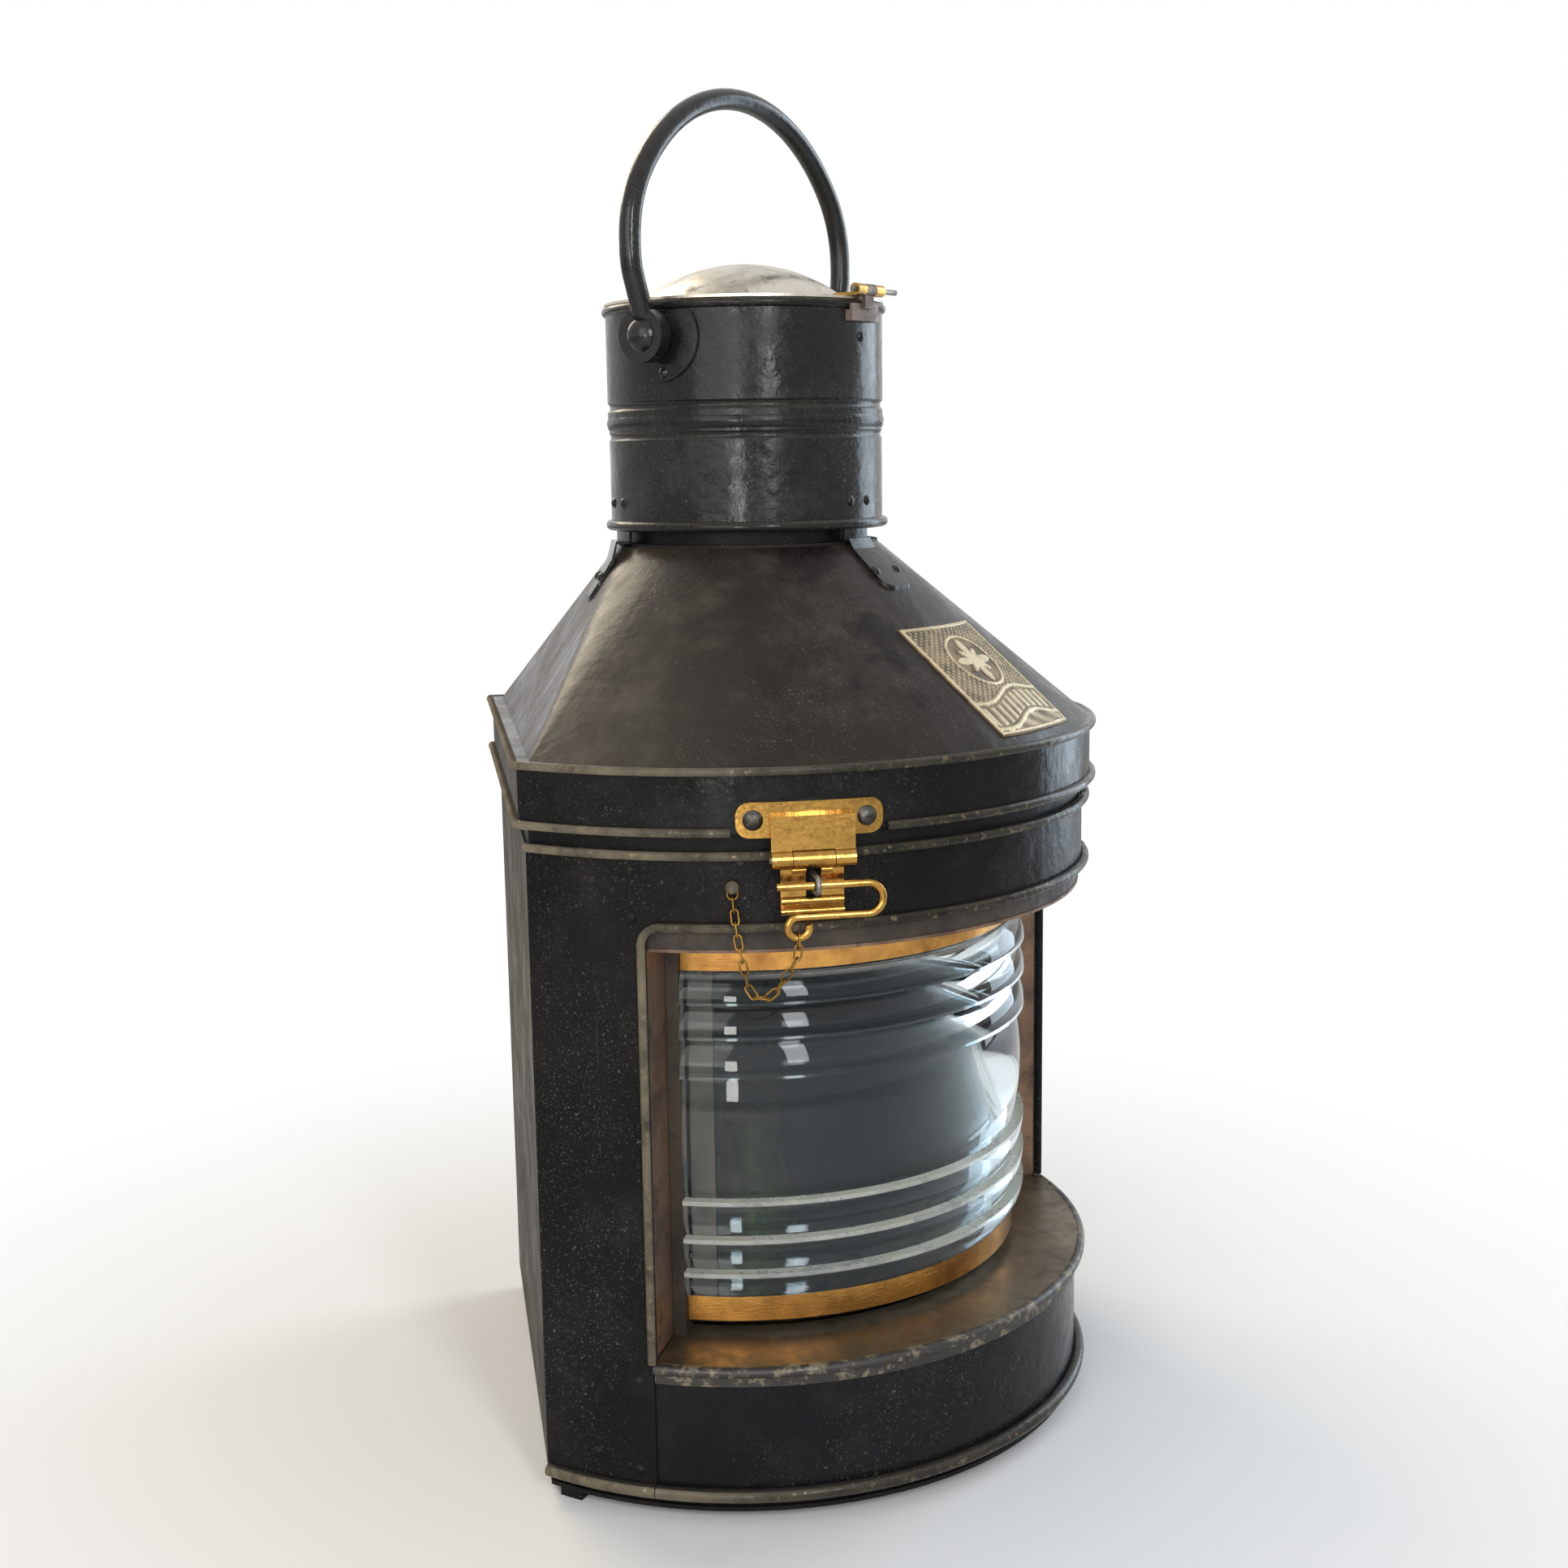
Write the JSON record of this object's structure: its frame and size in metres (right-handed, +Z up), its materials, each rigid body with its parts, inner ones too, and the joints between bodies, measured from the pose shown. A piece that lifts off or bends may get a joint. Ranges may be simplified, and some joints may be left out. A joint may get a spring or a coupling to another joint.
{
  "type": "ship's side lamp",
  "caption": "Quarter-round ship's side lamp with a clear dioptric lens, hinged hood with hasp and clip pin, capped chimney, bail handle and oil lamp inside.",
  "frame": {"origin": "on the floor, under the centre of the round front", "axes": "+Z up, -Y towards the hasp, -X is the flat side against the lamp board, +Y is the flat side with the hood hinge"},
  "size_m": [0.2583, 0.2725, 0.5558],
  "materials": {
    "black_paint": "semi-gloss, worn",
    "old_copper": "oxidised copper",
    "clear_glass": "polished",
    "green_glass": "polished",
    "brass": "worn",
    "steel": "dull",
    "tinned_copper": "dull tinned",
    "wick_cotton": "woven"
  },
  "bodies": {
    "lamp_body": {"casing": "black_paint", "front_apron": "black_paint", "base_pan": "black_paint", "corner_feet": "black_paint", "hood_collar": "black_paint", "window_tray": "old_copper", "window_ceiling": "old_copper", "jamb_left": "old_copper", "jamb_right": "old_copper", "lens_glass": "clear_glass", "lens_ring_lower": "brass", "lens_ring_upper": "brass", "lens_posts": "old_copper", "signal_glass_guides": "old_copper", "casing_rivets": "black_paint", "staple_plate": "black_paint", "staple": "steel", "chain_stud": "steel", "safety_chain": "brass", "hood_hinge_lower_leaf": "black_paint", "hood_hinge_pin": "steel", "font_ring": "old_copper"},
    "signal_glass_pane": {"signal_glass": "green_glass"},
    "clip": {"clip_pin": "brass", "chain_end_link": "brass"},
    "hood": {"hood_skirt": "black_paint", "hood_cone": "black_paint", "hood_neck": "black_paint", "chimney_brackets": "black_paint", "chimney": "black_paint", "hood_rivets": "black_paint", "hood_hinge_upper_leaf": "black_paint", "hasp_plate": "brass", "hasp_screws": "steel", "badge_plate": "brass", "cap_hinge_lower_leaf": "tinned_copper", "pivot_plates": "black_paint", "pivot_studs": "black_paint"},
    "cap": {"chimney_cap": "tinned_copper", "cap_hinge_upper_leaf": "brass", "cap_hinge_pin": "steel"},
    "bail": {"bail_handle": "black_paint"},
    "hasp": {"hasp_leaf": "brass", "hasp_hinge_pin": "steel"},
    "oil_lamp": {"oil_font": "brass", "filler_cap": "brass", "burner": "brass", "wick": "wick_cotton"},
    "wick_winder": {"wick_spindle": "steel", "wick_knob": "brass"}
  },
  "joints": [
    {"name": "hood_hinge", "type": "hinge", "parent": "lamp_body", "child": "hood", "pos_m": [0, 0.1065, 0.2675], "axis": [-1, 0, 0], "range_deg": [0, 95]},
    {"name": "hasp_hinge", "type": "hinge", "parent": "hood", "child": "hasp", "pos_m": [0, -0.154, 0.2625], "axis": [-1, 0, 0], "range_deg": [0, 90]},
    {"name": "clip_slide", "type": "slide", "parent": "lamp_body", "child": "clip", "axis": [1, 0, 0], "range_m": [0, 0.15]},
    {"name": "cap_hinge", "type": "hinge", "parent": "hood", "child": "cap", "pos_m": [0.04686, -0.04686, 0.472], "axis": [0.7071, 0.7071, 0], "range_deg": [0, 30]},
    {"name": "bail_swing", "type": "hinge", "parent": "hood", "child": "bail", "pos_m": [0.0033, -0.0033, 0.4543], "axis": [0.7071, 0.7071, 0], "range_deg": [-110, 110]},
    {"name": "signal_glass_lift", "type": "slide", "parent": "lamp_body", "child": "signal_glass_pane", "axis": [0, 0, 1], "range_m": [0, 0.1]},
    {"name": "oil_lamp_lift", "type": "slide", "parent": "lamp_body", "child": "oil_lamp", "axis": [0, 0, 1], "range_m": [0, 0.29]},
    {"name": "wick_turn", "type": "hinge", "parent": "oil_lamp", "child": "wick_winder", "pos_m": [-0.00396, -0.00396, 0.07905], "axis": [-0.7071, 0.7071, 0], "continuous": true}
  ],
  "couplings": [
    {"joint": "clip_slide", "follows": "hasp_hinge", "m_per_rad": 0.0955}
  ]
}
